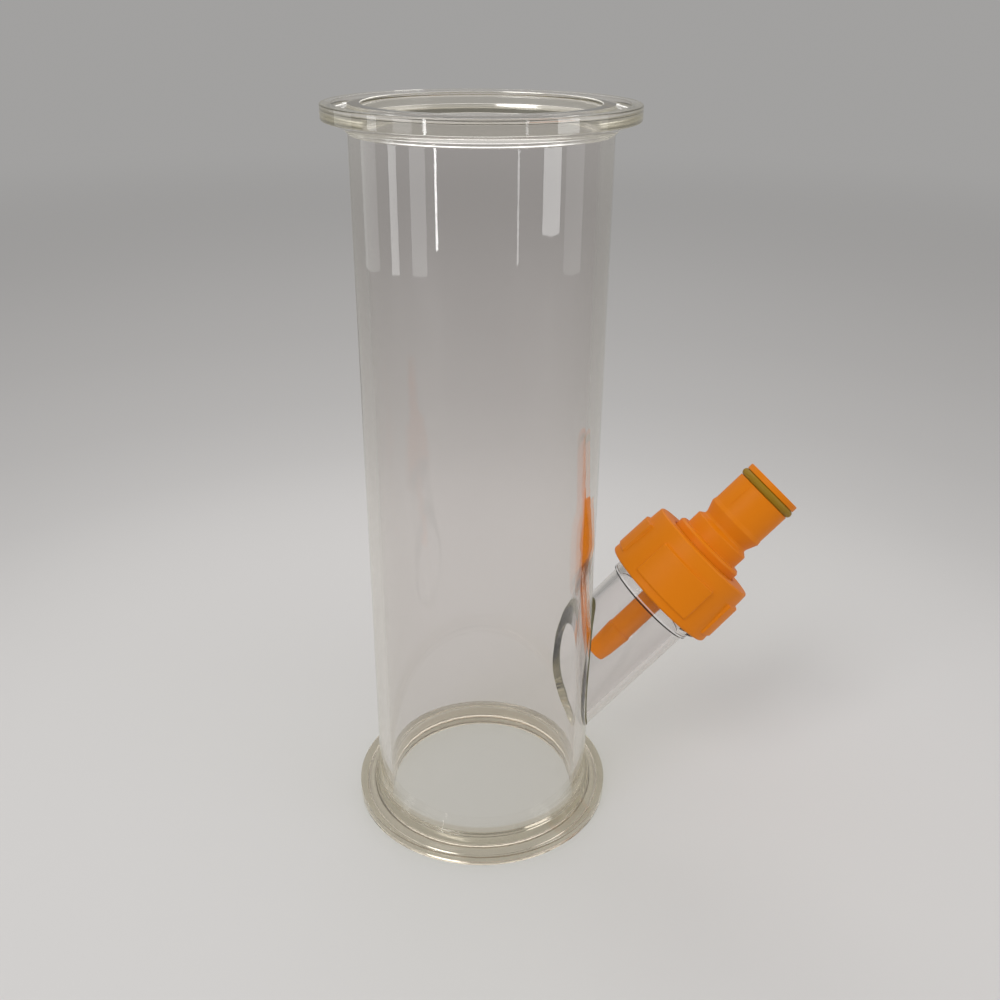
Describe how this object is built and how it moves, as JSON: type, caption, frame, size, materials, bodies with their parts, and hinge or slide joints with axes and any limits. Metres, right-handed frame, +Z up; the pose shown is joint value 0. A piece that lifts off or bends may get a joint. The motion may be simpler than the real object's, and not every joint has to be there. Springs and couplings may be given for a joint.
{
  "type": "clear dosing chamber",
  "caption": "Clear tubular dosing chamber with clamp ferrules, a slanting threaded side arm, a union nut and a spring-valved quick-disconnect post.",
  "frame": {"origin": "on the plane the bottom ferrule stands on, under the centre of the whole object's box; the chamber's own axis is vertical at X = -23.156 mm, Y = 0", "axes": "+Z up along the chamber, from the bottom ferrule to the top one; the side arm leans 45 degrees towards +X and lies in the XZ plane"},
  "size_m": [0.1104, 0.064, 0.1694],
  "materials": {
    "clear_plastic": "polished",
    "orange_plastic": "satin",
    "oring_rubber": "satin",
    "washer_rubber": "matte",
    "valve_plastic": "satin",
    "valve_rubber": "matte",
    "spring_steel": "satin"
  },
  "bodies": {
    "chamber": {"main_tube": "clear_plastic", "top_ferrule": "clear_plastic", "bottom_ferrule": "clear_plastic", "side_arm": "clear_plastic", "threaded_neck": "clear_plastic"},
    "seal": {"neck_seal": "washer_rubber"},
    "nut": {"union_nut": "orange_plastic"},
    "post": {"post_body": "orange_plastic", "dip_stem": "orange_plastic", "post_oring": "oring_rubber", "spring_retainer": "valve_plastic", "poppet_spring": "spring_steel"},
    "poppet": {"poppet": "valve_plastic", "poppet_seal": "valve_rubber"}
  },
  "joints": [
    {"name": "post_lift", "type": "slide", "parent": "chamber", "child": "seal", "axis": [0.7071, 0, 0.7071], "range_m": [0, 0.0081]},
    {"name": "nut_turn", "type": "hinge", "parent": "seal", "child": "nut", "pos_m": [0.02758, 0, 0.05754], "axis": [0.7071, 0, 0.7071], "range_deg": [0, 1080]},
    {"name": "post_swivel", "type": "hinge", "parent": "seal", "child": "post", "pos_m": [0.03857, 0, 0.06853], "axis": [0.7071, 0, 0.7071], "continuous": true},
    {"name": "poppet_press", "type": "slide", "parent": "post", "child": "poppet", "axis": [-0.7071, 0, -0.7071], "range_m": [0, 0.003], "stiffness_N_per_m": 400, "springref_m": -0.003, "deforming": ["poppet_spring"]}
  ],
  "couplings": [
    {"joint": "nut_turn", "follows": "post_lift", "rad_per_m": 2327.1}
  ]
}
